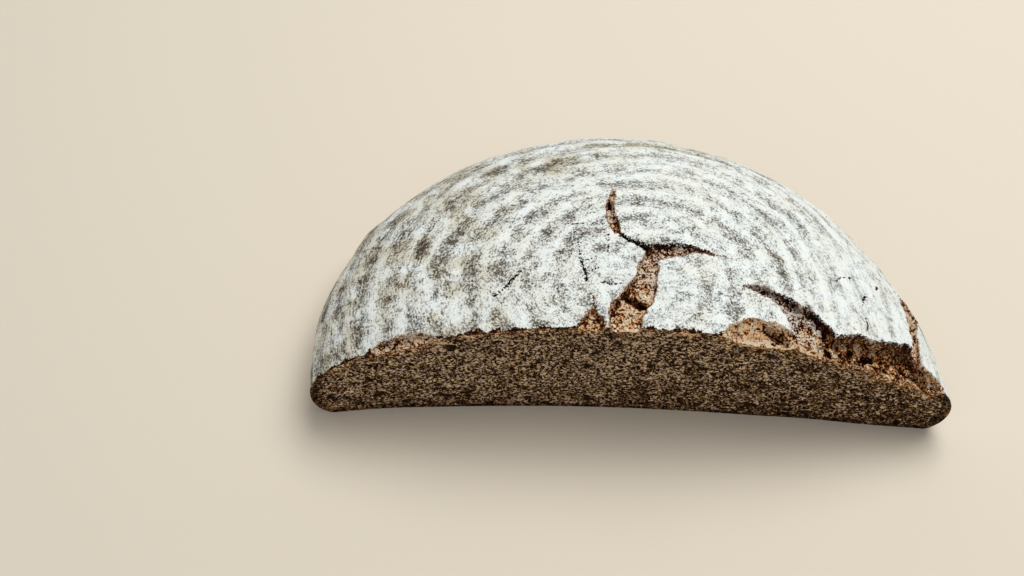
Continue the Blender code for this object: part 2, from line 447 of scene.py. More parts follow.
HAIRLINES = (
    Tear(((-21.5, 46.5, 0.06, 0.6), (-21, 42, 0.27, 0.9), (-20.2, 37, 0.2, 0.8), (-20, 33, 0.27, 0.9),
          (-18, 29, 0.27, 0.9), (-17.8, 24.5, 0.13, 0.7)), 0.4, 0.1, 0.1, -0.15),
    Tear(((-20, 33, 0.13, 0.7), (-16, 34.2, 0.06, 0.5)), 0.3, 0.0, 0.0, -0.15),
    Tear(((-17.5, 28, 0.2, 0.7), (-13.6, 30.4, 0.06, 0.5)), 0.3, 0.0, 0.0, -0.15),
    Tear(((-25.4, 50.4, 0.13, 0.7), (-21.5, 50, 0.2, 0.8), (-17, 51, 0.06, 0.5), (-12, 50, 0.13, 0.5)),
         0.3, 0.0, 0.1, -0.15),
    Tear(((-10, 45.3, 0.27, 1.1), (-10, 42, 0.2, 0.8), (-10.2, 37, 0.06, 0.5)), 0.3, 0.0, 0.0, -0.15),
    Tear(((-40.5, 30.6, 0.06, 0.5), (-43, 27.2, 0.34, 1.2), (-46.4, 23, 0.34, 1.2),
          (-51.5, 18.6, 0.06, 0.5)), 0.25, 0.1, 0.2, -0.15),
    Tear(((-12.5, 24.3, 0, 0.4), (-8.6, 23.4, 0.09, 0.5), (-4.6, 24, 0, 0.4)), 0.2, 0.0, 0.0, -0.15),
    Tear(((73.6, 35, 0.06, 0.5), (76.2, 37.8, 0.24, 1), (79, 38.2, 0.13, 0.8), (81.4, 40, 0, 0.4)),
         0.25, 0.1, 0.1, -0.15),
    Tear(((84, 21.4, 0.06, 0.5), (84.2, 17.2, 0.27, 1.1), (83.2, 14.6, 0.2, 0.9)), 0.3, 0.0, 0.1, -0.15),
    Tear(((91, 38.4, 0.27, 0.8), (90.4, 37.2, 0.2, 0.8)), 0.3, 0.0, 0.0, -0.15),
    Tear(((85, 31.4, 0.2, 0.7), (83, 26.4, 0.06, 0.4)), 0.4, 0.0, 0.0, -0.15),
)
TEARS = (
    CROWN_BURST, CROWN_MOUTH, CROWN_TIP, CROWN_LEFT_LEG, LEFT_LEG_FOOT, CROWN_LINK,
    CROWN_TOP_PIT, CROWN_RIGHT_LEG, CROWN_GROOVE,
    BURST_PIT, BURST_SIDE, BURST_NOTCH, CURVED_SPLIT, CURVED_MOUTH, CURVED_GROOVE, EDGE_BITE, BITE_GROOVE,
    SHOULDER_BURST, SHOULDER_CORNER, TIP_BURST, ROUND_PIT, MARGIN_SPLIT, LEFT_BITE, *SMALL_PITS, *HAIRLINES,
)


@dataclass
class TornField:
    """What all tears together do at each place of the crust.

    Args:
        inside: how far inside the nearest tear's edge, in mm, negative outside.
        drop: how far the torn floor lies below the dome, without its crumbs.
        push: how far the wall leans out under the crust, as x and y.
        lift: how far the crust's edge curls up.
        tone: how light the floor is.
        dust: how much flour lies on it.
    """

    inside: Array
    drop: Array
    push: Array
    lift: Array
    tone: Array
    dust: Array

    @classmethod
    def over(cls, dome: Array, wall: float) -> "TornField":
        """Gather every tear over the dome.

        Formula: inside its edge a tear's wall falls as a quarter circle over the width
        wall, or its floor as a quarter sine over its slope; where tears overlap the
        deepest counts, and outside them all the nearest.

        Args:
            dome: the plain crust's points.
            wall: how far in from its edge a tear reaches its full depth.

        Returns:
            The field at the same points.
        """
        shape = dome.shape[:-1]
        field = cls(np.full(shape, -20.0), np.zeros(shape), np.zeros(shape + (2,)),
                    np.zeros(shape), np.full(shape, 0.5), np.zeros(shape))
        stray = 0.9 * value_noise(dome, 3.1, 11) + 0.7 * value_noise(dome, 1.2, 12)
        for tear in TEARS:
            inside, width, depth, outward = tear.measure(dome[..., :2])
            inside = inside + tear.ragged * stray - 0.3 * smooth_step(width, 1.3, 0.5)
            q = np.clip(inside / np.clip(0.8 * width, 0.4, wall), 0, 1)
            drop = depth * np.sqrt(1 - (1 - q) ** 2)
            if tear.slope:
                drop = depth * np.sin(np.pi / 2 * np.clip(inside / tear.slope, 0, 1))
            deeper = drop > field.drop
            ruling = deeper | ((field.drop <= 0) & (inside > field.inside))
            field.drop = np.where(deeper, drop, field.drop)
            field.tone = np.where(ruling, tear.tone, field.tone)
            field.dust = np.where(ruling, tear.dust, field.dust)
            lean = tear.undercut * np.sin(np.pi * q)
            field.push = np.where(deeper[..., None], outward * lean[..., None], field.push)
            edge = tear.curl * np.exp(np.minimum(inside, 0) / 2.2) * (inside < 0)
            field.lift = np.maximum(field.lift, edge)
            field.inside = np.maximum(field.inside, inside)
        field.lift *= field.inside < 0
        return field


# ---------------------------------------------------------------------------------------
# Meshes


@dataclass
class MeshPlan:
    """A closed mesh in the making, as whole arrays.

    Args:
        points: places in loaf coordinates, one row each.
        quads: the faces' corners, four a row.
        caps: further faces with many corners.
        notes: named numbers, one for each point, which the materials read.
        crease: marks the points of the loop whose edges stay sharp.
    """

    points: Array
    quads: NDArray[np.int64]
    caps: list[list[int]]
    notes: dict[str, Array]
    crease: NDArray[np.bool_]

    def make(self, name: str, origin: Vector) -> bpy.types.Object:
        """Turn the plan into an object with outward faces and no doubled points.

        Args:
            name: the piece's name.
            origin: where loaf coordinates start, in metres.

        Returns:
            The object, linked to the scene.
        """
        mesh = bpy.data.meshes.new(name)
        places = self.points / METRE + np.array(origin)
        mesh.from_pydata(places, [], self.quads.tolist() + self.caps)
        notes = dict(self.notes, crease=self.crease.astype(float))
        for key, values in notes.items():
            wide = values.ndim == 2
            layer = mesh.attributes.new(key, "FLOAT_VECTOR" if wide else "FLOAT", "POINT")
            layer.data.foreach_set("vector" if wide else "value", values.astype(np.float32).ravel())
        self.tidy(mesh)
        self.sharpen(mesh)
        piece = bpy.data.objects.new(name, mesh)
        bpy.context.scene.collection.objects.link(piece)
        return piece

    @staticmethod
    def tidy(mesh: bpy.types.Mesh) -> None:
        """Merge doubled points, cut wide caps into triangles and turn every face outwards."""
        bm = bmesh.new()
        bm.from_mesh(mesh)
        bmesh.ops.remove_doubles(bm, verts=bm.verts, dist=1e-6)
        wide = [face for face in bm.faces if len(face.verts) > 4]
        bmesh.ops.triangulate(bm, faces=wide)
        bmesh.ops.recalc_face_normals(bm, faces=bm.faces)
        bm.to_mesh(mesh)
        bm.free()
        mesh.shade_smooth()

    @staticmethod
    def sharpen(mesh: bpy.types.Mesh) -> None:
        """Keep the crease's edges sharp: those whose two ends both carry its mark."""
        marks = np.zeros(len(mesh.vertices), dtype=np.float32)
        mesh.attributes["crease"].data.foreach_get("value", marks)
        ends = np.zeros(len(mesh.edges) * 2, dtype=np.int32)
        mesh.edges.foreach_get("vertices", ends)
        sharp = (marks[ends.reshape(-1, 2)] > 0.5).all(axis=1)
        layer = mesh.attributes.get("sharp_edge") or mesh.attributes.new("sharp_edge", "BOOLEAN", "EDGE")
        layer.data.foreach_set("value", sharp)
        mesh.attributes.remove(mesh.attributes["crease"])


def grid_quads(rows: int, columns: int, first: int = 0) -> NDArray[np.int64]:
    """Corners of the faces of a grid whose points are numbered row by row.

    Args:
        rows: how many rows of points it has.
        columns: how many points a row has.
        first: the number of its first point.

    Returns:
        Four corners for each face.
    """
    number = np.arange(rows * columns).reshape(rows, columns) + first
    corners = [number[:-1, :-1], number[:-1, 1:], number[1:, 1:], number[1:, :-1]]
    return np.stack(corners, axis=-1).reshape(-1, 4)


@dataclass(frozen=True)
class Recess:
    """The shallow hollow behind the cut, which the crumb's slab fills.

    Args:
        narrow: share of the cut's length that its floor keeps.
        low: share of the cut's height that its floor keeps.
        depth: how far it goes back.
        middle_height: the height towards which the outline shrinks.
    """

    narrow: float = 0.97
    low: float = 0.85
    depth: float = 3.0
    middle_height: float = 25.0

    def floor(self, edge: Array) -> Array:
        """The outline of the hollow's floor: the cut's outline shrunk about a point at its
        middle height and moved back."""
        middle = np.array([0.0, 0.0, self.middle_height])
        sunk = middle + (edge - middle) * np.array([self.narrow, 1.0, self.low])
        sunk[:, 1] = edge[:, 1] + self.depth
        return sunk


@dataclass(frozen=True)
class CutEdge:
    """The edge that the crust leaves round the cut, from the left tip to the right one.

    Args:
        upper: points along the crown.
        lower: points along the foot.
        burst: x along the crown, and there 1 where the crust has burst and 0 where not.
    """

    upper: Array
    lower: Array
    burst: Array


@dataclass
class Crust:
    """The baked outside of the loaf: dome, foot and base, hollowed a little behind the cut.

    Args:
        shape: the plain form.
        recess: the hollow behind the cut.
        wall: how far in from its edge a tear reaches its full depth.
        coil_middle: where the proofing basket's coil is centred, as x and y.
        first_ring: how far from there the first furrow of its print lies.
        ring_pitch: from one furrow to the next, along the crust.
        ring_height: how far the print stands proud or sinks.
        seam_turn: the angle at which the coil's angle starts anew, under the crown burst.
        chip_tone: how light the crust is where the knife chipped it.
        base_rows: rows of faces between the base's edge and the cut.
    """

    shape: LoafShape
    recess: Recess
    wall: float = 1.5
    coil_middle: tuple[float, float] = (5.0, 25.0)
    first_ring: float = 19.5
    ring_pitch: float = 10.9
    ring_height: float = 0.28
    seam_turn: float = math.radians(80)
    chip_tone: float = 0.12
    base_rows: int = 12

    def grid(self) -> tuple[Array, Array]:
        """Profile lengths of the columns and rows, closest where the crust is torn."""
        end = float(self.shape.profile()[0][-1])
        across = graded((-end, -32, -14, 22, 34, 108, 128, end),
                        (1.25, 1.15, 0.58, 0.6, 0.55, 0.57, 0.85, 1.1))
        back = graded((0, 16, 42, 75, end), (0.52, 0.55, 0.62, 1.0, 1.3))
        return across, back

    def coil(self, dome: Array, reach: Array) -> tuple[Array, Array, Array]:
        """Where each place lies on the print of the proofing basket's coil.

        Formula: the distance from the coil's middle is the one in the plan, and what the
        profile is longer than it; the furrows are where its cosine is one.

        Args:
            dome: the plain crust's points.
            reach: each point's length along the profile.

        Returns:
            The distance, the angle round the middle, and the furrow's share, 0 to 1.
        """
        x = dome[..., 0] - self.coil_middle[0]
        y = dome[..., 1] - self.coil_middle[1]
        distance = np.hypot(x, y) + reach - np.hypot(dome[..., 0], dome[..., 1])
        cosine, sine = math.cos(self.seam_turn), math.sin(self.seam_turn)
        turn = np.arctan2(y * cosine - x * sine, x * cosine + y * sine)
        wander = 1.5 * value_noise(dome, 23, 31) + 0.5 * value_noise(dome, 7, 32)
        phase = (distance + wander - self.first_ring) / self.ring_pitch
        furrow = 0.5 + 0.5 * np.cos(2 * np.pi * phase)
        return distance, turn, furrow * smooth_step(distance, 6, 15)

    def chip(self, torn: TornField, dome: Array, behind: Array) -> None:
        """Let the knife chip the crust's edge along the cut.

        Formula: noise along the cut says how far back the chips reach; they are shallow.

        Args:
            torn: the tears, to which the chips are added.
            dome: the plain crust's points.
            behind: how far behind the cut each of them lies.
        """
        along = dome * (1, 0, 0)
        reach = 0.1 + 0.9 * value_noise(along, 3.3, 21) + 0.7 * value_noise(along, 1.3, 22)
        inside = np.clip(reach, -1, 1.5) + 0.3 * value_noise(dome, 1.1, 23) - behind
        chipped = inside > torn.inside
        drop = 0.75 * np.clip(inside, 0, 1)
        torn.drop = np.maximum(torn.drop, drop)
        torn.inside = np.where(chipped, inside, torn.inside)
        torn.tone = np.where(chipped, self.chip_tone, torn.tone)
        torn.dust = np.where(chipped, 0.0, torn.dust)

    @staticmethod
    def bare(dome: Array) -> Array:
        """Where the flour is thinner and browner: a strip along the back, where the basket took
        the flour with it, a patch at the back left and, less, the whole left, which is painted shade.

        Formula: the patch and the strip are bell curves of the distance from their middle;
        the whole is broken up by noise.

        Args:
            dome: the plain crust's points.

        Returns:
            Numbers from 0 to 1.
        """
        x, y = dome[..., 0], dome[..., 1]
        patch = 0.62 * np.exp(-((x + 30) / 17) ** 2 - ((y - 83 - 0.3 * (x + 30)) / 8) ** 2)
        strip = 0.5 * np.exp(-((y - 99) / 3) ** 2) * smooth_step(x, -30, -10) * smooth_step(x, 50, 30)
        broken = np.clip(0.55 + 0.9 * value_noise(dome, 6, 38), 0, 1)
        # Painted shade: the whole left gets more wear and a browner tint.
        left = 0.42 * smooth_step(x, -22, -62)
        return np.maximum(np.maximum(patch, strip), left) * broken

    def outside(self) -> tuple[Array, dict[str, Array]]:
        """The dome with the coil's print, wrinkles and tears.

        Formula: along the normal, the print is a cosine and wrinkles are noise; straight
        down, tears drop to a floor of lumps.  By the cut both act only within its face, so
        that the cut stays flat.

        Returns:
            Points, rows first from the cut, and the notes for the materials.
        """
        shape = self.shape
        dome, reach = shape.dome(*self.grid())
        normal = np.cross(np.gradient(dome, axis=1), np.gradient(dome, axis=0))
        normal /= np.linalg.norm(normal, axis=-1, keepdims=True)
        torn = TornField.over(dome, self.wall)
        distance, turn, furrow = self.coil(dome, reach)
        behind = dome[..., 1] - shape.cut_y(dome[..., 0], dome[..., 2])
        self.chip(torn, dome, behind)

        patch = np.clip(0.5 + 0.7 * value_noise(dome, 27, 33), 0, 1)
        relief = -self.ring_height * (2 * furrow - 1) * patch
        relief += 0.8 * value_noise(dome, 48, 34) + 0.3 * rough_noise(dome, 11, 35)
        relief += 0.16 * rough_noise(dome, 3.1, 36, 2)
        low = smooth_step(dome[..., 2], 44, 20) * smooth_step(dome[..., 2], 1, 9)
        pucker = np.stack([turn * 90, reach * 0.25, np.zeros_like(turn)], axis=-1)
        relief += 0.7 * low * value_noise(pucker, 9, 37)
        relief += torn.lift - 0.5 * smooth_step(torn.inside, -0.2, 0.5)

        coarse, number = granules(dome * (1, 1, 0.5), 3.4, 41)
        middling, _ = granules(dome * (1, 1, 0.7), 1.9, 43)
        fine, _ = granules(dome, 1.15, 42)
        lumps = 1.0 * coarse * (0.3 + number) + 0.5 * middling + 0.15 * fine - 0.7
        rough_floor = smooth_step(torn.inside, 0.15, 1.1) * np.clip(0.24 * torn.drop, 0, 1.4)
        down = (torn.drop - rough_floor * lumps) * smooth_step(dome[..., 2], 15, 21)

        free = smooth_step(behind, 0, 3.5)
        ridge = 0.22 * np.exp(-behind / 2.4) * smooth_step(torn.drop, 4, 7)
        ridge *= 1 + value_noise(dome, 2.6, 39) + 0.6 * value_noise(dome, 1.3, 40)
        points = dome + normal * (relief[..., None] * np.stack([free, free, np.ones_like(free)], -1))
        points[..., :2] += torn.push * (free * (1 + 1.1 * lumps))[..., None]
        points[..., 2] -= down * (1 - ridge)
        settle = shape.cut_y(points[..., 0], points[..., 2]) - shape.cut_y(dome[..., 0], dome[..., 2])
        points[..., 1] += settle * (1 - smooth_step(behind, 0, 6))
        points[..., 2] = np.maximum(points[..., 2], 0.0)
        points[-1, :, 2] = points[:, 0, 2] = points[:, -1, 2] = 0.0
        # Painted highlight: a deep tear's floor is paler within a few millimetres of the cut, where its ridge
        # catches the light.
        painted_lip_highlight = smooth_step(behind + 1.6 * value_noise(dome, 2.4, 53), 4.2, 1.4) * smooth_step(torn.drop, 2.5, 5)
        tone = torn.tone + 0.42 * painted_lip_highlight + 0.7 * (number - 0.5) * smooth_step(torn.drop, 2, 5)
        notes = {
            "torn": torn.inside, "tone": tone, "dust": torn.dust, "furrow": furrow,
            "lump": rough_floor * lumps,
            "coil": np.stack([distance, turn * 45, np.zeros_like(turn)], axis=-1),
            "under": smooth_step(dome[..., 2], 3.0, 0.0),
            # thick: evener, lighter flour towards the right and the back, partly thicker flour and partly
            # painted light.
            "thick": np.maximum(smooth_step(dome[..., 0], 18, 90), 0.55 * smooth_step(dome[..., 1], 50, 80)),
            "bare": self.bare(dome),
        }
        return points, notes

    def base(self, outline: Array, crown: Array) -> Array:
        """The underside, between the crust's outline and the foot of the cut.

        Formula: rules run from each point of the outline to a point of the cut's foot,
        which moves from tip to tip as a cosine; noise lifts it a little off the board, and
        dies out where the rules shrink to a point at either tip.

        Args:
            outline: the crust's lowest points, from the left tip round the back.
            crown: the x of the cut's upper edge; the cut's foot uses the same ones.

        Returns:
            Rows of points from the outline's neighbour to the foot of the cut.
        """
        s = np.linspace(0, 1, len(outline))
        half = (outline[-1, 0] - outline[0, 0]) / 2
        x = (outline[-1, 0] + outline[0, 0]) / 2 - half * np.cos(np.pi * s)
        inner = crown[(crown > x[0] + 0.3) & (crown < x[-1] - 0.3)]
        steps = np.concatenate([x[:1], inner, x[-1:]])
        x = steps[np.round(np.interp(x, steps, np.arange(len(steps)))).astype(int)]
        chord = np.stack([x, self.shape.cut_y(x, 0 * x), 0 * x], axis=-1)
        t = np.linspace(0, 1, self.base_rows + 1)[1:, None, None] ** 1.4
        points = outline + (chord - outline) * t
        inset = np.minimum(t, 1 - t)[..., 0]
        points[..., 2] = 0.9 * np.abs(value_noise(points, 17, 51)) * smooth_step(inset, 0, 0.25)
        points[..., 2] += 0.15 * (1 + value_noise(points, 5, 52)) * smooth_step(inset, 0, 0.1)
        points[..., 2] *= smooth_step(np.minimum(s, 1 - s), 0, 0.03)
        return points

    def plan(self) -> tuple[MeshPlan, CutEdge]:
        """Join dome, base and the hollow behind the cut into one closed mesh.

        Returns:
            The mesh, and the edge that it leaves for the crumb.
        """
        dome, notes = self.outside()
        rows, columns = dome.shape[:2]
        number = np.arange(rows * columns).reshape(rows, columns)
        outline = np.concatenate([number[:-1, 0], number[-1], number[-2::-1, -1]])
        flat = dome.reshape(-1, 3)
        front = dome[0]
        left, right = np.argmin(front[:, 0]), np.argmax(front[:, 0])
        base = self.base(flat[outline], front[left:right + 1, 0])
        first = len(flat)
        base_number = np.arange(base[..., 0].size).reshape(base.shape[:2]) + first
        under = np.vstack([outline, base_number])
        under_quads = np.stack([under[:-1, :-1], under[1:, :-1], under[1:, 1:], under[:-1, 1:]], -1)

        loop = np.concatenate([number[0], base_number[-1, -2:0:-1]])
        points = np.vstack([flat, base.reshape(-1, 3)])
        floor = self.recess.floor(points[loop])
        floor_number = np.arange(len(loop)) + len(points)
        after = np.roll(np.arange(len(loop)), -1)
        wall = np.stack([loop, floor_number, floor_number[after], loop[after]], axis=-1)

        points = np.vstack([points, floor])
        extra = len(points) - first
        full = {key: np.concatenate([values.reshape((first,) + values.shape[2:]),
                                     np.zeros((extra,) + values.shape[2:])])
                for key, values in notes.items()}
        full["under"][first:] = 1.0
        full["torn"][first:] = -20.0
        crease = np.zeros(len(points), dtype=bool)
        crease[loop] = True
        quads = np.vstack([grid_quads(rows, columns), under_quads.reshape(-1, 4), wall])
        mesh = MeshPlan(points, quads, [floor_number.tolist()], full, crease)
        lower = np.vstack([front[left::-1], base[-1, 1:-1], front[:right - 1:-1]])
        open_part = smooth_step(notes["torn"][0], -0.3, 0.3) * smooth_step(np.abs(front[:, 0]), 115, 109)
        burst = np.column_stack([front[:, 0], open_part])
        return mesh, CutEdge(front[left:right + 1], lower, burst[left:right + 1])


# ---------------------------------------------------------------------------------------
# The crumb


@dataclass(frozen=True)
class PoreLayer:
    """Holes of one size that the knife has opened.

    Args:
        cell: the lattice's step; each cell holds at most one hole.
        small: half the height of the smallest hole.
        large: half the height of the largest.
        share: share of the cells that hold one.
        seed: picks another set of holes.
    """

    cell: float
    small: float
    large: float
    share: float
    seed: int

    def depth(self, plan: Array) -> Array:
        """How deep the holes reach behind the cut.

        Formula: a hole is a flattened ball, longer than it is high and turned a little;
        its depth is its half height times the root of one less the distance squared.

        Args:
            plan: x and z of each place of the cut, in mm.

        Returns:
            The depth in mm, 0 between the holes.
        """
        corner = np.floor(plan / self.cell)
        depth = np.zeros(plan.shape[:-1])
        for step in np.ndindex(3, 3):
            cell = corner + np.array(step) - 1
            key = np.concatenate([cell, np.zeros_like(cell[..., :1])], axis=-1)
            across, up, size, turn, length, there = (lattice_random(key, self.seed + k) for k in range(6))
            radius = self.small + (self.large - self.small) * size ** 2
            middle = (cell + 0.15 + 0.7 * np.stack([across, up], axis=-1)) * self.cell
            away = plan - middle
            angle = 1.3 * (turn - 0.5)
            along = away[..., 0] * np.cos(angle) + away[..., 1] * np.sin(angle)
            over = away[..., 1] * np.cos(angle) - away[..., 0] * np.sin(angle)
            gap = (along / (radius * (1 + 0.6 * length))) ** 2 + (over / radius) ** 2
            hole = 0.9 * radius * np.sqrt(np.clip(1 - gap, 0, 1))
            depth = np.maximum(depth, np.where(there < self.share, hole, 0))
        return depth


@dataclass
class Crumb:
    """The slab of dense, moist rye crumb that the cut shows.

    Args:
        shape: the plain form.
        recess: the hollow in the crust that holds it.
        layers: the holes, from the finest to the largest.
        rows: rows of points between the cut's lower and upper edge.
        widest: columns farther apart than this get one between them.
        grain: how high the fine grain stands.
        margin: how far in from the crust the holes start, and where they are whole.
    """

    shape: LoafShape
    recess: Recess
    layers: tuple[PoreLayer, ...] = (
        PoreLayer(2.3, 0.40, 0.85, 0.70, 81), PoreLayer(4.6, 0.70, 1.25, 0.60, 91),
        PoreLayer(11.0, 1.0, 1.8, 0.60, 101), PoreLayer(29.0, 1.6, 2.6, 0.50, 111))
    rows: int = 150
    widest: float = 0.75
    grain: float = 0.22
    margin: tuple[float, float] = (0.4, 1.7)

    def face(self, rim: CutEdge) -> tuple[Array, Array]:
        """Points of the cut, without its holes.

        Formula: columns stand at every x that either edge has; along a column the height
        runs evenly from the lower edge to the upper.

        Args:
            rim: the edge that the crust leaves.

        Returns:
            Points, rows first from the lower edge, and each one's distance to the edge.
        """
        upper, lower = rim.upper, rim.lower
        x = np.union1d(upper[:, 0], lower[:, 0])
        between = (x[:-1] + x[1:]) / 2
        x = np.union1d(x, between[np.diff(x) > self.widest])
        low, high = np.interp(x, lower[:, 0], lower[:, 2]), np.interp(x, upper[:, 0], upper[:, 2])
        high[[0, -1]] = low[[0, -1]]
        t = np.linspace(0, 1, self.rows)[:, None]
        z = low + (high - low) * t
        x = np.broadcast_to(x, z.shape)
        points = np.stack([x, self.shape.cut_y(x, z), z], axis=-1)
        edge = np.vstack([points[0], points[-1]])[:, [0, 2]]
        inset = np.empty(z.shape)
        for row, line in enumerate(points[..., [0, 2]]):
            gap = ((line[:, None] - edge[None]) ** 2).sum(axis=-1)
            inset[row] = np.sqrt(gap.min(axis=1))
        return points, inset

    def plan(self, rim: CutEdge) -> MeshPlan:
        """The slab as a closed mesh: the cut with its holes, a wall round it and a back.

        Args:
            rim: the edge that the crust leaves.
        """
        points, inset = self.face(rim)
        plan = points[..., [0, 2]]
        wavy = plan + 0.28 * np.stack([value_noise(points, 1.6, 61), value_noise(points, 1.6, 62)], -1)
        pore = np.max([layer.depth(wavy) for layer in self.layers], axis=0)
        whole = smooth_step(inset, *self.margin)
        grain = self.grain * rough_noise(points * (1, 1, 0.6), 1.3, 63, 2)
        points[..., 1] += whole * (pore + grain) + 0.25 * (1 - whole) * grain * smooth_step(inset, 0, 0.5)
        rows, columns = inset.shape
        number = np.arange(rows * columns).reshape(rows, columns)
        loop = np.concatenate([number[0], number[-1, ::-1]])
        flat = points.reshape(-1, 3)
        back = self.recess.floor(flat[loop])
        back_number = np.arange(len(loop)) + len(flat)
        after = np.roll(np.arange(len(loop)), -1)
        wall = np.stack([loop, loop[after], back_number[after], back_number], axis=-1)
        hidden = np.zeros(len(loop))
        notes = {
            "pore": np.concatenate([(pore * whole).ravel(), hidden]),
            "inset": np.concatenate([inset.ravel(), hidden]),
            "height": np.concatenate([(points[..., 2] - points[0, :, 2]).ravel(), hidden]),
            "burst": np.concatenate([np.interp(points[..., 0], *rim.burst.T).ravel(), hidden]),
        }
        crease = np.zeros(len(flat) + len(loop), dtype=bool)
        crease[loop] = True
        quads = np.vstack([grid_quads(rows, columns), wall])
        return MeshPlan(np.vstack([flat, back]), quads, [back_number.tolist()], notes, crease)


# ---------------------------------------------------------------------------------------
# Finishes


def linear(colour: str) -> tuple[float, float, float, float]:
    """Turn an sRGB hex colour into the linear one that Blender's sockets hold."""
    shares = [int(colour[i:i + 2], 16) / 255 for i in (1, 3, 5)]
    red, green, blue = (c / 12.92 if c <= 0.04045 else ((c + 0.055) / 1.055) ** 2.4 for c in shares)
    return red, green, blue, 1.0


def per_mm(size: float) -> float:
    """The scale of a pattern whose features are size mm wide, on coordinates in metres."""
    return METRE / size


Feed = float | tuple[float, ...] | bpy.types.NodeSocket


class Wiring:
    """A material's node tree in the making."""

    def __init__(self, name: str) -> None:
        """Start an empty material.

        Args:
            name: the material's name.
        """
        self.material = bpy.data.materials.new(name)
        self.material.use_nodes = True
        self.tree = self.material.node_tree
        self.tree.nodes.clear()

    def add(self, kind: str, feeds: dict[str | int, Feed] | None = None, out: str | int = 0,
            stops: tuple[tuple[float, str], ...] = (), **settings: object) -> bpy.types.NodeSocket:
        """Add a node with its settings and links.

        Args:
            kind: Blender's name for the node, without its first words.
            feeds: a value or another node's output for each named or numbered input.
            out: the output that is wanted.
            stops: places and hex colours, for a node with a colour ramp.
            settings: the node's own options.

        Returns:
            The wanted output.
        """
        node = self.tree.nodes.new("ShaderNode" + kind)
        for option, value in settings.items():
            setattr(node, option, value)
        for socket, feed in (feeds or {}).items():
            if isinstance(feed, bpy.types.NodeSocket):
                self.tree.links.new(feed, node.inputs[socket])
            else:
                node.inputs[socket].default_value = feed
        for index, (place, colour) in enumerate(stops):
            ramp = node.color_ramp.elements
            element = ramp[index] if index < 2 else ramp.new(place)
            element.position, element.color = place, linear(colour)
        return node.outputs[out] if node.outputs else None


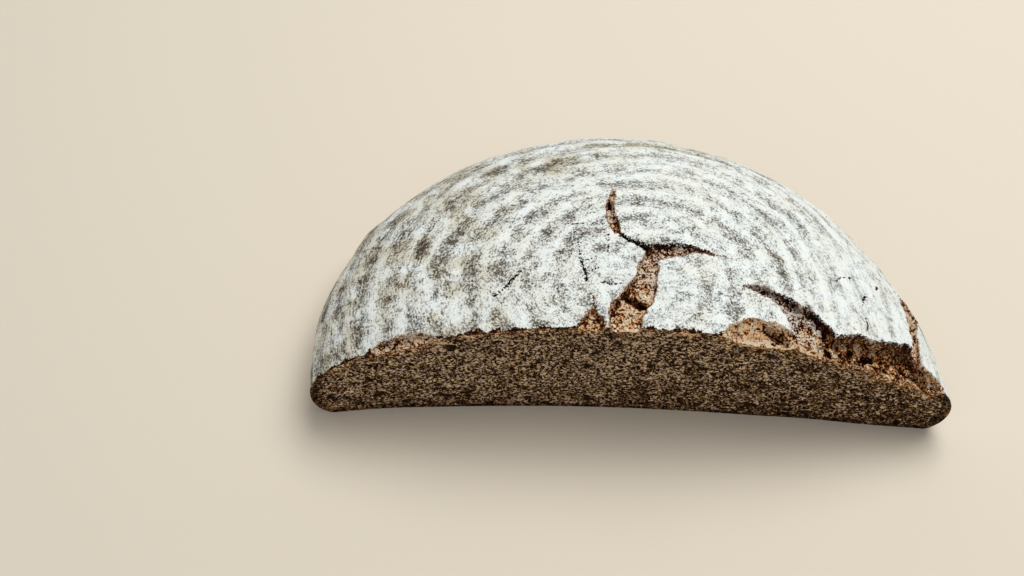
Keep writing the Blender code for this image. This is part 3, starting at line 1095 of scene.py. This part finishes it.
@dataclass(frozen=True)
class FlouredCrust:
    """Rye crust, baked in the oven from dough proved in a floured basket.

    Rye flour lies on it as a matt, cool white film, thick on the ridges of the coil's
    print and worn to fine grey specks in its furrows.  Where the crust has burst it is
    toasted crumb: granular and tan, with painted highlights on its tops and painted
    shade, nearly black, in its pits and grooves.

    Args:
        name: the material's name.
        flour: from thick flour to a speck of bare crust.
        toast: the burst crumb, from its pits to its tops; its dark end serves as painted shade and its pale
            end partly as painted highlight.
        sole: the base, browned on the oven's floor.
        grain_mm: size of the flour's specks.
        cloud_mm: size of the clouds where more or less flour stuck.
        patch_mm: size of the patches within them.
        crease_mm: size of the fields between the film's finest wrinkles.
        crumb_mm: size of the burst crumb's grains.
    """

    name: str = "Floured rye crust"
    flour: tuple[tuple[float, str], ...] = (
        (0.0, "#F0F4F1"), (1.0, "#50473D"), (0.25, "#CDD0CC"), (0.5, "#9F9E97"), (0.75, "#746F69"))
    toast: tuple[tuple[float, str], ...] = (
        (0.0, "#220C03"), (1.0, "#FFEBCC"), (0.18, "#5C2E12"), (0.34, "#A66A38"), (0.52, "#E2A469"),
        (0.74, "#FDD2A2"))
    sole: tuple[tuple[float, str], ...] = (
        (0.0, "#3E2413"), (1.0, "#C9B79C"), (0.35, "#6B4426"), (0.7, "#94693F"))
    grain_mm: float = 0.8
    cloud_mm: float = 16.0
    patch_mm: float = 4.0
    crease_mm: float = 6.0
    crumb_mm: float = 1.6

    def make(self) -> bpy.types.Material:
        """Wire the material."""
        w = Wiring(self.name)
        place = w.add("TexCoord", out="Object")
        coil = w.add("Attribute", out="Vector", attribute_name="coil")
        torn, tone, dust, lump, furrow, under, thick, rubbed_and_shaded = (
            w.add("Attribute", out="Fac", attribute_name=note)
            for note in ("torn", "tone", "dust", "lump", "furrow", "under", "thick", "bare"))

        # Flour: worn where the coil's furrows and the clouds meet, and there full of specks.
        cloud = w.add("TexNoise", {"Vector": place, "Scale": per_mm(self.cloud_mm), "Detail": 3.0})
        small = w.add("TexNoise", {"Vector": place, "Scale": per_mm(self.patch_mm), "Detail": 2.0})
        stretch = w.add("VectorMath", {0: coil, 1: (1.0, 0.4, 1.0)}, operation="MULTIPLY")
        streak = w.add("TexNoise", {"Vector": stretch, "Scale": 1 / 3.0, "Detail": 3.0})
        grains = w.add("TexNoise", {"Vector": place, "Scale": per_mm(self.grain_mm), "Detail": 4.0,
                                    "Roughness": 0.75})
        rubbed = w.add("VectorMath", {0: coil, 1: (1.0, 0.5, 1.0)}, operation="MULTIPLY")
        dashes = w.add("TexNoise", {"Vector": rubbed, "Scale": 1.2 / self.grain_mm, "Detail": 3.0,
                                    "Roughness": 0.7})
        speck = w.add("Mix", {0: 0.4, 2: grains, 3: dashes}, data_type="FLOAT")
        patch = w.add("MapRange", {0: cloud, 1: 0.36, 2: 0.64, 3: 0.25, 4: 1.0})
        wear = w.add("Math", {0: furrow, 1: patch}, operation="MULTIPLY")
        wear = w.add("MapRange", {0: wear, 3: 0.19, 4: 0.66})
        patchy = w.add("MapRange", {0: small, 1: 0.3, 2: 0.7, 3: -0.16, 4: 0.16})
        wear = w.add("Math", {0: wear, 1: patchy}, operation="ADD")
        # Evener, lighter flour where the thick note says, towards the right and the back: partly thicker
        # flour, partly painted light.
        even_lit_flour = w.add("Math", {0: thick, 1: 0.6}, operation="MULTIPLY")
        wear = w.add("Mix", {0: even_lit_flour, 2: wear, 3: 0.22}, data_type="FLOAT")
        # More worn where the bare note says: bare crust along the back, a patch at the back left, and painted
        # shade over the whole left.
        wear = w.add("Math", {0: rubbed_and_shaded, 1: 0.36, 2: wear}, operation="MULTIPLY_ADD")
        streaked = w.add("MapRange", {0: streak, 1: 0.3, 2: 0.7, 3: -0.2, 4: 0.2})
        wear = w.add("Math", {0: wear, 1: streaked}, operation="ADD", use_clamp=True)
        crease = w.add("TexNoise", {"Vector": place, "Scale": per_mm(self.crease_mm), "Detail": 4.0,
                                    "Distortion": 0.6})
        crease = w.add("Math", {0: crease, 1: 0.5, 2: 0.018}, operation="COMPARE")
        crease = w.add("Math", {0: crease, 1: 0.16}, operation="MULTIPLY")
        wear = w.add("Math", {0: wear, 1: crease}, operation="ADD")
        thin = w.add("MapRange", {0: speck, 1: 0.4, 2: 0.6})
        thin = w.add("Mix", {0: even_lit_flour, 2: thin, 3: 0.52}, data_type="FLOAT")
        thin = w.add("Math", {0: wear, 1: 0.95, 2: thin}, operation="MULTIPLY_ADD")
        bare = w.add("MapRange", {0: thin, 1: 0.78, 2: 1.5})
        smudge = w.add("MapRange", {0: wear, 1: 0.1, 2: 0.6, 3: 0.0, 4: 0.12})
        bare = w.add("Math", {0: bare, 1: smudge}, operation="ADD")
        flour = w.add("ValToRGB", {0: bare}, stops=self.flour)
        # Brown tint from the bare note: bare crust, and painted shade on the left.
        flour = w.add("Mix", {0: rubbed_and_shaded, 6: flour, 7: linear("#D6BF8E")}, out=2, data_type="RGBA",
                      blend_type="MULTIPLY")
        warm = w.add("TexNoise", {"Vector": place, "Scale": per_mm(9.0), "Detail": 3.0, "Distortion": 0.5})
        warm = w.add("MapRange", {0: warm, 1: 0.44, 2: 0.6})
        flour = w.add("Mix", {0: warm, 6: flour, 7: linear("#FFFCF7")}, out=2, data_type="RGBA",
                      blend_type="MULTIPLY")

        # Burst crumb: grains, with painted shade in the pits, between the grains and where the tear is deep,
        # and painted highlights on the lumps' tops.
        bent = w.add("TexNoise", {"Vector": place, "Scale": per_mm(1.0), "Detail": 2.0}, out="Color")
        bent = w.add("VectorMath", {0: bent, 1: (0.0012,) * 3, 2: place}, operation="MULTIPLY_ADD")
        grain = w.add("TexVoronoi", {"Vector": bent, "Scale": per_mm(self.crumb_mm)},
                      feature="DISTANCE_TO_EDGE")
        single = w.add("TexVoronoi", {"Vector": bent, "Scale": per_mm(self.crumb_mm)}, out="Color")
        grit = w.add("TexNoise", {"Vector": place, "Scale": per_mm(0.8), "Detail": 3.0, "Roughness": 0.65})
        blotch = w.add("TexNoise", {"Vector": place, "Scale": per_mm(3.5), "Detail": 2.0})
        # Painted shade in the gaps between grains; painted highlight on the lumps' tops and painted shade in
        # the hollows between them.
        rough = w.add("MapRange", {0: grain, 1: 0.0, 2: 0.22, 3: -0.74, 4: 0.22})
        rough = w.add("Math", {0: lump, 1: 0.48, 2: rough}, operation="MULTIPLY_ADD")
        single = w.add("MapRange", {0: single, 3: -0.44, 4: 0.44})
        rough = w.add("Math", {0: rough, 1: single}, operation="ADD")
        gritty = w.add("MapRange", {0: grit, 1: 0.4, 2: 0.6, 3: -0.5, 4: 0.5})
        rough = w.add("Math", {0: gritty, 1: 1.2, 2: rough}, operation="MULTIPLY_ADD")
        blotchy = w.add("MapRange", {0: blotch, 1: 0.3, 2: 0.7, 3: -0.46, 4: 0.46})
        rough = w.add("Math", {0: rough, 1: blotchy}, operation="ADD")
        shallow = w.add("MapRange", {0: tone, 1: -0.2, 2: 1.2, 3: 0.25, 4: 1.55})
        light = w.add("Math", {0: rough, 1: shallow, 2: tone}, operation="MULTIPLY_ADD")
        # Darker just inside a tear's edge: the crust's dark baked wall, and painted shade on it.
        walled = w.add("MapRange", {0: torn, 1: -0.2, 2: 0.6, 3: -0.4, 4: 0.0})
        light = w.add("Math", {0: light, 1: walled}, operation="ADD")
        shade = w.add("MapRange", {0: light, 1: -0.1, 2: 1.35})
        toast = w.add("ValToRGB", {0: shade}, stops=self.toast)
        baked = w.add("MapRange", {0: blotch, 1: 0.54, 2: 0.42, 4: 0.55})
        toast = w.add("Mix", {0: baked, 6: toast, 7: linear("#FFD092")}, out=2, data_type="RGBA",
                      blend_type="MULTIPLY")
        settled = w.add("MapRange", {0: light, 1: 0.3, 2: 0.75}, interpolation_type="SMOOTHSTEP")
        settled = w.add("Math", {0: settled, 1: dust}, operation="MULTIPLY")
        toast = w.add("Mix", {0: settled, 6: toast, 7: linear("#EEE8E0")}, out=2, data_type="RGBA")
        frayed = w.add("Math", {0: gritty, 1: 0.7, 2: torn}, operation="MULTIPLY_ADD")
        open_ = w.add("MapRange", {0: frayed, 1: -0.5, 2: -0.3}, interpolation_type="SMOOTHSTEP")
        colour = w.add("Mix", {0: open_, 6: flour, 7: toast}, out=2, data_type="RGBA")

        # Base and the lowest few millimetres of the side.
        height = w.add("SeparateXYZ", {0: place}, out=2)
        ragged = w.add("MapRange", {0: grit, 1: 0.3, 2: 0.7, 3: -0.0028, 4: 0.0028})
        height = w.add("Math", {0: height, 1: ragged}, operation="ADD")
        low = w.add("MapRange", {0: height, 1: 0.0075, 2: 0.0035}, interpolation_type="SMOOTHSTEP")
        low = w.add("Math", {0: low, 1: under}, operation="MAXIMUM")
        sole_shade = w.add("Math", {0: gritty, 1: blotch}, operation="ADD")
        sole = w.add("ValToRGB", {0: sole_shade}, stops=self.sole)
        colour = w.add("Mix", {0: low, 6: colour, 7: sole}, out=2, data_type="RGBA")

        fine = w.add("Bump", {"Strength": 1.0, "Distance": 0.0004, "Height": speck})
        bumpy = w.add("Math", {0: gritty, 1: open_}, operation="MULTIPLY")
        normal = w.add("Bump", {"Strength": 1.0, "Distance": 0.0003, "Height": bumpy, "Normal": fine})
        shader = w.add("BsdfPrincipled", {"Base Color": colour, "Roughness": 0.92, "IOR": 1.4,
                                          "Specular IOR Level": 0.15,
                                          "Normal": normal})
        w.add("OutputMaterial", {"Surface": shader})
        return w.material


@dataclass(frozen=True)
class RyeCrumb:
    """Wholemeal rye crumb, cut with a knife: dense, moist and short.

    It is grey-brown with pale grains of meal and little holes, painted dark inside as
    shade, and matt except for a faint shine of moisture.  Towards the crust it darkens and reddens.

    Args:
        name: the material's name.
        meal: from the gaps between grains to the palest of them.
        rind: the crust's own thickness, cut through.
        toast: the same where the crust has burst.
        hole: painted shade for the inside of a hole.
        grain_mm: size of the meal's grains.
        top_rind_mm: how thick the crust is over the crumb.
        sole_rind_mm: how thick it is at the base.
    """

    name: str = "Wholemeal rye crumb"
    meal: tuple[tuple[float, str], ...] = (
        (0.0, "#200F02"), (1.0, "#F6E6CE"), (0.28, "#492F14"), (0.5, "#7A5A34"), (0.75, "#C2A27A"))
    rind: tuple[tuple[float, str], ...] = (
        (0.0, "#100804"), (1.0, "#BA8C5C"), (0.4, "#362210"), (0.7, "#6A4728"))
    toast: tuple[tuple[float, str], ...] = (
        (0.0, "#5E3414"), (1.0, "#FBE3BA"), (0.4, "#B87638"), (0.7, "#E4B074"))
    hole: str = "#2E190B"
    grain_mm: float = 0.95
    top_rind_mm: float = 0.9
    sole_rind_mm: float = 2.2

    def make(self) -> bpy.types.Material:
        """Wire the material."""
        w = Wiring(self.name)
        place = w.add("TexCoord", out="Object")
        pore, inset, height, burst = (w.add("Attribute", out="Fac", attribute_name=note)
                                      for note in ("pore", "inset", "height", "burst"))
        drawn = w.add("VectorMath", {0: place, 1: (0.85, 1.0, 0.92)}, operation="MULTIPLY")
        grain = w.add("TexNoise", {"Vector": drawn, "Scale": per_mm(self.grain_mm), "Detail": 4.0,
                                   "Roughness": 0.72, "Distortion": 0.35})
        flake = w.add("TexVoronoi", {"Vector": drawn, "Scale": per_mm(1.7)})
        single = w.add("TexVoronoi", {"Vector": drawn, "Scale": per_mm(1.7)}, out="Color")
        cloud = w.add("TexNoise", {"Vector": place, "Scale": per_mm(6.0), "Detail": 3.0})
        tint = w.add("TexNoise", {"Vector": place, "Scale": per_mm(3.0), "Detail": 2.0})
        shade = w.add("MapRange", {0: grain, 1: 0.452, 2: 0.566, 3: -0.25, 4: 1.08})
        pale = w.add("MapRange", {0: flake, 1: 0.05, 2: 0.34, 3: 0.56, 4: -0.1})
        shade = w.add("Math", {0: shade, 1: pale}, operation="ADD")
        single = w.add("MapRange", {0: single, 3: -0.16, 4: 0.16})
        shade = w.add("Math", {0: shade, 1: single}, operation="ADD")
        cloudy = w.add("MapRange", {0: cloud, 1: 0.3, 2: 0.7, 3: -0.22, 4: 0.22})
        shade = w.add("Math", {0: shade, 1: cloudy}, operation="ADD")
        shred = w.add("TexNoise", {"Vector": drawn, "Scale": per_mm(3.6), "Detail": 1.5, "Distortion": 0.8})
        shred = w.add("Math", {0: shred, 1: 0.5, 2: 0.012}, operation="COMPARE")
        shade = w.add("Math", {0: shred, 1: 0.3, 2: shade}, operation="MULTIPLY_ADD")
        # Darker towards the bottom of the cut, and towards the right from x = 15 mm.
        dense = w.add("MapRange", {0: height, 1: 34.0, 2: 2.0, 3: 0.02, 4: -0.14})
        shade = w.add("Math", {0: shade, 1: dense}, operation="ADD")
        along = w.add("SeparateXYZ", {0: place}, out=0)
        dense = w.add("MapRange", {0: along, 1: 0.015, 2: 0.07, 3: 0.0, 4: -0.12})
        shade = w.add("Math", {0: shade, 1: dense}, operation="ADD")
        meal = w.add("ValToRGB", {0: shade}, stops=self.meal)
        tint = w.add("MapRange", {0: tint, 1: 0.4, 2: 0.6})
        tint = w.add("Mix", {0: tint, 6: linear("#FFF3D8"), 7: linear("#F4E8E8")}, out=2, data_type="RGBA")
        meal = w.add("Mix", {0: 1.0, 6: meal, 7: tint}, out=2, data_type="RGBA", blend_type="MULTIPLY")
        # Painted shade: a hole's inside darkens with its depth.
        deep = w.add("MapRange", {0: pore, 1: 0.15, 2: 0.6, 3: 0.0, 4: 0.92})
        meal = w.add("Mix", {0: deep, 6: meal, 7: linear(self.hole)}, out=2, data_type="RGBA")

        # The rind: thicker at the base, with a ragged inner edge and a brown gradient.
        uneven = w.add("TexNoise", {"Vector": place, "Scale": per_mm(2.5), "Detail": 2.0})
        uneven = w.add("MapRange", {0: uneven, 1: 0.35, 2: 0.65, 3: -1.0, 4: 1.0})
        low = w.add("MapRange", {0: height, 1: 4.0, 2: 2.0, 3: self.top_rind_mm, 4: self.sole_rind_mm})
        low = w.add("Math", {0: low, 1: uneven}, operation="ADD")
        across = w.add("Math", {0: along}, operation="ABSOLUTE")
        tip = w.add("MapRange", {0: across, 1: 0.106, 2: 0.118, 3: 0.0, 4: 3.2})
        low = w.add("Math", {0: low, 1: tip}, operation="ADD")
        above = w.add("MapRange", {0: height, 1: 3.0, 2: 6.0})
        above = w.add("Math", {0: above, 1: burst}, operation="MULTIPLY")
        low = w.add("Math", {0: above, 1: 0.7, 2: low}, operation="MULTIPLY_ADD")
        ragged = w.add("MapRange", {0: grain, 1: 0.3, 2: 0.7, 3: -0.5, 4: 0.5})
        near = w.add("Math", {0: inset, 1: low}, operation="SUBTRACT")
        near = w.add("Math", {0: near, 1: ragged}, operation="ADD")
        rind = w.add("ValToRGB", {0: shade}, stops=self.rind)
        toast = w.add("ValToRGB", {0: shade}, stops=self.toast)
        rind = w.add("Mix", {0: above, 6: rind, 7: toast}, out=2, data_type="RGBA")
        share = w.add("MapRange", {0: near, 1: 0.5, 2: -0.3}, interpolation_type="SMOOTHSTEP")
        fading = w.add("MapRange", {0: near, 1: 4.5, 2: 0.0, 3: 0.0, 4: 0.35})
        share = w.add("Math", {0: share, 1: fading}, operation="MAXIMUM")
        colour = w.add("Mix", {0: share, 6: meal, 7: rind}, out=2, data_type="RGBA")

        normal = w.add("Bump", {"Strength": 1.0, "Distance": 0.0006, "Height": grain})
        shader = w.add("BsdfPrincipled", {"Base Color": colour, "Roughness": 0.8, "IOR": 1.4,
                                          "Specular IOR Level": 0.1, "Normal": normal})
        w.add("OutputMaterial", {"Surface": shader})
        return w.material


# ---------------------------------------------------------------------------------------
# The whole loaf, and the studio


class Slot(Enum):
    """Names for the part's material slots; nothing here gives them to the slots."""

    CRUST = "floured_crust"
    CRUMB = "rye_crumb"


@dataclass
class HalfLoaf:
    """The half loaf: its crust and its crumb.

    Args:
        shape: the plain form.
        recess: the hollow behind the cut.
    """

    shape: LoafShape
    recess: Recess

    def build(self) -> list[bpy.types.Object]:
        """Make both pieces, dress them and hang them on the part."""
        low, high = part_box(NODE)
        origin = Vector((high.x - self.shape.half_length / METRE, low.y, low.z))
        outside, rim = Crust(self.shape, self.recess).plan()
        slab = Crumb(self.shape, self.recess).plan(rim)
        crust = outside.make("crust", origin)
        crumb = slab.make("crumb", origin)
        for piece, finish, slot in ((crust, FlouredCrust(), Slot.CRUST), (crumb, RyeCrumb(), Slot.CRUMB)):
            piece.data.materials.append(finish.make())
            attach(piece, BODY)
            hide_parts(NODE)
            triangles = sum(len(face.vertices) - 2 for face in piece.data.polygons)
            LOG.info("%s: %d triangles", piece.name, triangles)
        return [crust, crumb]


@dataclass(frozen=True)
class Studio:
    """A plain pale floor, soft light from behind and above, and the camera.

    Args:
        target: the point the camera looks at, in loaf coordinates.
        azimuth: degrees round the loaf from straight before the cut.
        elevation: degrees above the floor.
        roll: degrees that the picture leans.
        distance: from the target, in mm.
        across: the camera's angle of view from side to side, in degrees.
        floor_colour: the floor's colour.
    """

    target: tuple[float, float, float] = (-45.8, 57.3, 0.0)
    azimuth: float = 2.81
    elevation: float = 61.99
    roll: float = -1.04
    distance: float = 602.1
    across: float = 38.0
    floor_colour: str = "#E4D8C6"

    def build(self) -> None:
        """Lay the floor, hang the lights and place the camera."""
        low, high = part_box(NODE)
        origin = Vector((high.x - LoafShape.half_length / METRE, low.y, low.z))
        self.lay_floor(low.z)
        self.hang_light("key", (0.33, 0.38, 1.23), (0.9, 0.7), 14.5, (0.99, 1.0, 0.985))
        self.hang_light("fill", (-0.7, -0.9, 0.9), (1.2, 1.2), 2.4, (1.0, 0.96, 0.9))
        world = bpy.data.worlds.new("studio")
        world.use_nodes = True
        background = world.node_tree.nodes["Background"]
        background.inputs["Color"].default_value = (0.93, 0.96, 1.0, 1.0)
        background.inputs["Strength"].default_value = 0.30
        bpy.context.scene.world = world
        self.place_camera(origin)
        bpy.context.scene.view_settings.view_transform = "Standard"

    def lay_floor(self, height: float) -> None:
        """Lay a wide floor under the loaf.

        Args:
            height: where it lies, in metres.
        """
        wide = 4.0
        mesh = bpy.data.meshes.new("floor")
        corners = [(-wide, -wide, height), (wide, -wide, height), (wide, wide, height), (-wide, wide, height)]
        mesh.from_pydata(corners, [], [(0, 1, 2, 3)])
        floor = bpy.data.objects.new("floor", mesh)
        bpy.context.scene.collection.objects.link(floor)
        w = Wiring("Matt painted board")
        shader = w.add("BsdfPrincipled", {"Base Color": linear(self.floor_colour), "Roughness": 0.85,
                                          "Specular IOR Level": 0.2})
        w.add("OutputMaterial", {"Surface": shader})
        mesh.materials.append(w.material)

    @staticmethod
    def hang_light(name: str, place: tuple[float, float, float], size: tuple[float, float],
                   watts: float, colour: tuple[float, float, float]) -> None:
        """Hang a soft box that faces the loaf.

        Args:
            name: the light's name.
            place: its middle, in metres.
            size: its width and height, in metres.
            watts: its power.
            colour: its linear colour.
        """
        data = bpy.data.lights.new(name, "AREA")
        data.shape = "RECTANGLE"
        data.size, data.size_y = size
        data.energy, data.color = watts, colour
        light = bpy.data.objects.new(name, data)
        light.location = place
        light.rotation_mode = "QUATERNION"
        light.rotation_quaternion = (Vector((0, 0, 0.03)) - Vector(place)).to_track_quat("-Z", "Y")
        bpy.context.scene.collection.objects.link(light)

    def place_camera(self, origin: Vector) -> None:
        """Set the camera from its angles.

        Args:
            origin: where loaf coordinates start, in metres.
        """
        a, e, r = (math.radians(angle) for angle in (self.azimuth, self.elevation, self.roll))
        back = Vector((math.sin(a) * math.cos(e), -math.cos(a) * math.cos(e), math.sin(e)))
        level = Vector((math.cos(a), math.sin(a), 0.0))
        up = back.cross(level)
        right = math.cos(r) * level + math.sin(r) * up
        up = back.cross(right)
        data = bpy.data.cameras.new("camera")
        data.sensor_width = 36.0
        data.lens = data.sensor_width / 2 / math.tan(math.radians(self.across) / 2)
        data.clip_start = 0.01
        camera = bpy.data.objects.new("camera", data)
        place = origin + (Vector(self.target) + self.distance * back) / METRE
        camera.matrix_world = Matrix.Translation(place) @ Matrix((right, up, back)).transposed().to_4x4()
        bpy.context.scene.collection.objects.link(camera)
        bpy.context.scene.camera = camera


def main() -> None:
    """Build the loaf and the studio; the loaf's build logs both pieces' triangles."""
    logging.basicConfig(level=logging.INFO, format="%(name)s: %(message)s")
    HalfLoaf(LoafShape(), Recess()).build()
    Studio().build()


if __name__ == "__main__":
    main()
